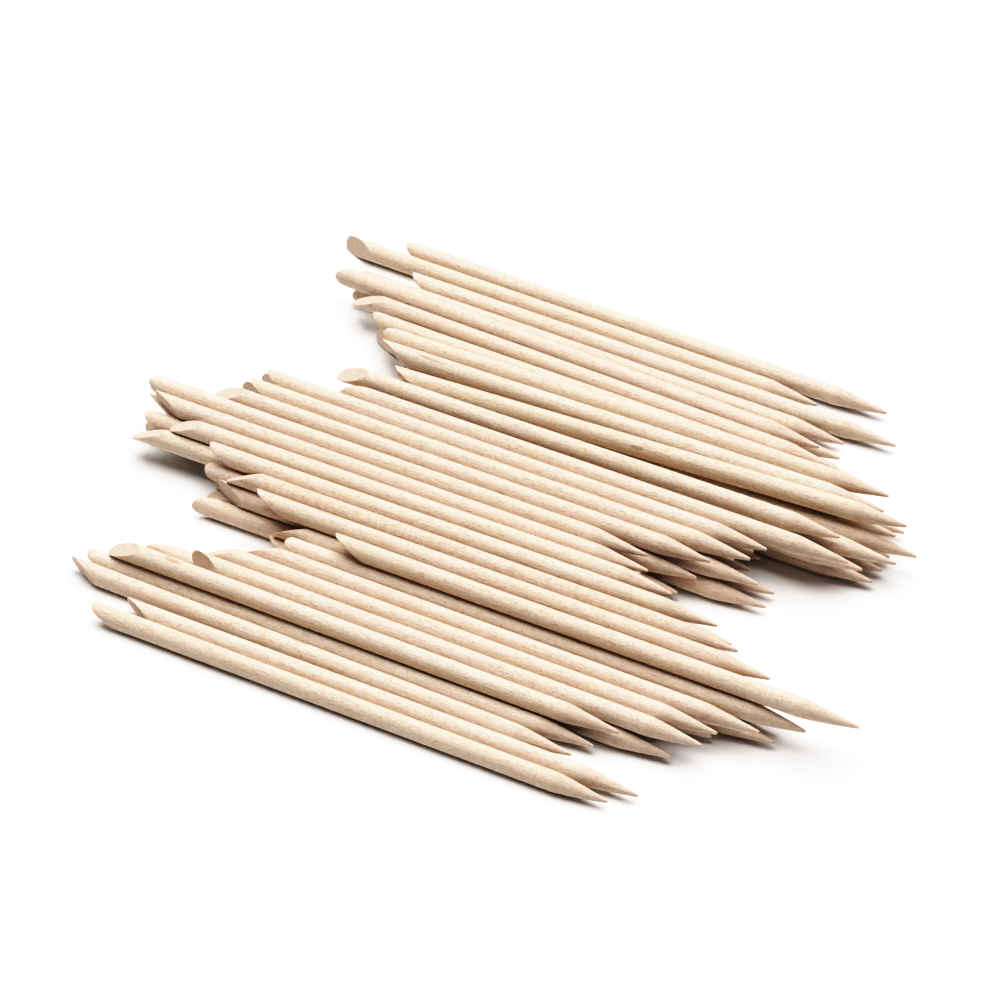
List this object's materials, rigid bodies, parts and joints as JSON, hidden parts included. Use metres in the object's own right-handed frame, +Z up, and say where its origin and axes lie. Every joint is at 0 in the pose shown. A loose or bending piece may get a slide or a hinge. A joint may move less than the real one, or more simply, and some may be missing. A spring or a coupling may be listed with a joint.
{
  "type": "cuticle pusher",
  "caption": "Loose heap of round wooden cuticle pushers, each with a sharpened point at one end and a slanted hoof end at the other.",
  "frame": {"origin": "on the surface the heap lies on, under the middle of the heap's outline", "axes": "+X along the sticks towards their sharpened points, +Y across them, +Z up"},
  "size_m": [0.1736, 0.1388, 0.0126],
  "materials": {
    "birch": "sanded, unvarnished pale birch"
  },
  "bodies": {
    "heap": {"buried_floor_back": "birch", "buried_floor_front": "birch", "buried_floor_middle": "birch", "buried_second_back": "birch", "buried_second_middle": "birch", "floor_pusher_05": "birch", "floor_pusher_06": "birch", "floor_pusher_07": "birch", "floor_pusher_08": "birch", "floor_pusher_09": "birch", "floor_pusher_10": "birch", "floor_pusher_11": "birch", "floor_pusher_12": "birch", "floor_pusher_13": "birch", "floor_pusher_14": "birch", "floor_pusher_15": "birch", "floor_pusher_16": "birch", "floor_pusher_17": "birch", "second_pusher_04": "birch", "second_pusher_05": "birch", "second_pusher_06": "birch", "second_pusher_07": "birch", "second_pusher_08": "birch", "second_pusher_09": "birch", "second_pusher_10": "birch", "second_pusher_11": "birch", "second_pusher_12": "birch", "second_pusher_13": "birch", "second_pusher_14": "birch", "second_pusher_15": "birch", "second_pusher_16": "birch", "top_pusher_01": "birch"},
    "floor_pusher_01_body": {"floor_pusher_01": "birch"},
    "floor_pusher_02_body": {"floor_pusher_02": "birch"},
    "floor_pusher_03_body": {"floor_pusher_03": "birch"},
    "floor_pusher_04_body": {"floor_pusher_04": "birch"},
    "floor_pusher_18_body": {"floor_pusher_18": "birch"},
    "floor_pusher_19_body": {"floor_pusher_19": "birch"},
    "floor_pusher_20_body": {"floor_pusher_20": "birch"},
    "second_pusher_01_body": {"second_pusher_01": "birch"},
    "second_pusher_02_body": {"second_pusher_02": "birch"},
    "second_pusher_03_body": {"second_pusher_03": "birch"},
    "second_pusher_17_body": {"second_pusher_17": "birch"},
    "second_pusher_18_body": {"second_pusher_18": "birch"},
    "second_pusher_19_body": {"second_pusher_19": "birch"},
    "second_pusher_20_body": {"second_pusher_20": "birch"},
    "top_pusher_02_body": {"top_pusher_02": "birch"},
    "top_pusher_03_body": {"top_pusher_03": "birch"},
    "top_pusher_04_body": {"top_pusher_04": "birch"},
    "top_pusher_05_body": {"top_pusher_05": "birch"},
    "top_pusher_06_body": {"top_pusher_06": "birch"},
    "top_pusher_07_body": {"top_pusher_07": "birch"},
    "top_pusher_08_body": {"top_pusher_08": "birch"},
    "top_pusher_09_body": {"top_pusher_09": "birch"},
    "top_pusher_10_body": {"top_pusher_10": "birch"},
    "top_pusher_11_body": {"top_pusher_11": "birch"},
    "top_pusher_12_body": {"top_pusher_12": "birch"},
    "top_pusher_13_body": {"top_pusher_13": "birch"},
    "top_pusher_14_body": {"top_pusher_14": "birch"},
    "top_pusher_15_body": {"top_pusher_15": "birch"}
  },
  "joints": [
    {"name": "floor_pusher_01_lift", "type": "slide", "parent": "heap", "child": "floor_pusher_01_body", "axis": [0, 0, 1], "range_m": [0, 0.04]},
    {"name": "floor_pusher_02_lift", "type": "slide", "parent": "heap", "child": "floor_pusher_02_body", "axis": [0, 0, 1], "range_m": [0, 0.04]},
    {"name": "floor_pusher_03_lift", "type": "slide", "parent": "heap", "child": "floor_pusher_03_body", "axis": [0, 0, 1], "range_m": [0, 0.04]},
    {"name": "floor_pusher_04_lift", "type": "slide", "parent": "heap", "child": "floor_pusher_04_body", "axis": [0, 0, 1], "range_m": [0, 0.04]},
    {"name": "floor_pusher_18_lift", "type": "slide", "parent": "heap", "child": "floor_pusher_18_body", "axis": [0, 0, 1], "range_m": [0, 0.04]},
    {"name": "floor_pusher_19_lift", "type": "slide", "parent": "heap", "child": "floor_pusher_19_body", "axis": [0, 0, 1], "range_m": [0, 0.04]},
    {"name": "floor_pusher_20_lift", "type": "slide", "parent": "heap", "child": "floor_pusher_20_body", "axis": [0, 0, 1], "range_m": [0, 0.04]},
    {"name": "second_pusher_01_lift", "type": "slide", "parent": "heap", "child": "second_pusher_01_body", "axis": [0, 0, 1], "range_m": [0, 0.04]},
    {"name": "second_pusher_02_lift", "type": "slide", "parent": "heap", "child": "second_pusher_02_body", "axis": [0, 0, 1], "range_m": [0, 0.04]},
    {"name": "second_pusher_03_lift", "type": "slide", "parent": "heap", "child": "second_pusher_03_body", "axis": [0, 0, 1], "range_m": [0, 0.04]},
    {"name": "second_pusher_17_lift", "type": "slide", "parent": "heap", "child": "second_pusher_17_body", "axis": [0, 0, 1], "range_m": [0, 0.04]},
    {"name": "second_pusher_18_lift", "type": "slide", "parent": "heap", "child": "second_pusher_18_body", "axis": [0, 0, 1], "range_m": [0, 0.04]},
    {"name": "second_pusher_19_lift", "type": "slide", "parent": "heap", "child": "second_pusher_19_body", "axis": [0, 0, 1], "range_m": [0, 0.04]},
    {"name": "second_pusher_20_lift", "type": "slide", "parent": "heap", "child": "second_pusher_20_body", "axis": [0, 0, 1], "range_m": [0, 0.04]},
    {"name": "top_pusher_02_lift", "type": "slide", "parent": "heap", "child": "top_pusher_02_body", "axis": [0, 0, 1], "range_m": [0, 0.04]},
    {"name": "top_pusher_03_lift", "type": "slide", "parent": "heap", "child": "top_pusher_03_body", "axis": [0, 0, 1], "range_m": [0, 0.04]},
    {"name": "top_pusher_04_lift", "type": "slide", "parent": "heap", "child": "top_pusher_04_body", "axis": [0, 0, 1], "range_m": [0, 0.04]},
    {"name": "top_pusher_05_lift", "type": "slide", "parent": "heap", "child": "top_pusher_05_body", "axis": [0, 0, 1], "range_m": [0, 0.04]},
    {"name": "top_pusher_06_lift", "type": "slide", "parent": "heap", "child": "top_pusher_06_body", "axis": [0, 0, 1], "range_m": [0, 0.04]},
    {"name": "top_pusher_07_lift", "type": "slide", "parent": "heap", "child": "top_pusher_07_body", "axis": [0, 0, 1], "range_m": [0, 0.04]},
    {"name": "top_pusher_08_lift", "type": "slide", "parent": "heap", "child": "top_pusher_08_body", "axis": [0, 0, 1], "range_m": [0, 0.04]},
    {"name": "top_pusher_09_lift", "type": "slide", "parent": "heap", "child": "top_pusher_09_body", "axis": [0, 0, 1], "range_m": [0, 0.04]},
    {"name": "top_pusher_10_lift", "type": "slide", "parent": "heap", "child": "top_pusher_10_body", "axis": [0, 0, 1], "range_m": [0, 0.04]},
    {"name": "top_pusher_11_lift", "type": "slide", "parent": "heap", "child": "top_pusher_11_body", "axis": [0, 0, 1], "range_m": [0, 0.04]},
    {"name": "top_pusher_12_lift", "type": "slide", "parent": "heap", "child": "top_pusher_12_body", "axis": [0, 0, 1], "range_m": [0, 0.04]},
    {"name": "top_pusher_13_lift", "type": "slide", "parent": "heap", "child": "top_pusher_13_body", "axis": [0, 0, 1], "range_m": [0, 0.04]},
    {"name": "top_pusher_14_lift", "type": "slide", "parent": "heap", "child": "top_pusher_14_body", "axis": [0, 0, 1], "range_m": [0, 0.04]},
    {"name": "top_pusher_15_lift", "type": "slide", "parent": "heap", "child": "top_pusher_15_body", "axis": [0, 0, 1], "range_m": [0, 0.04]}
  ]
}
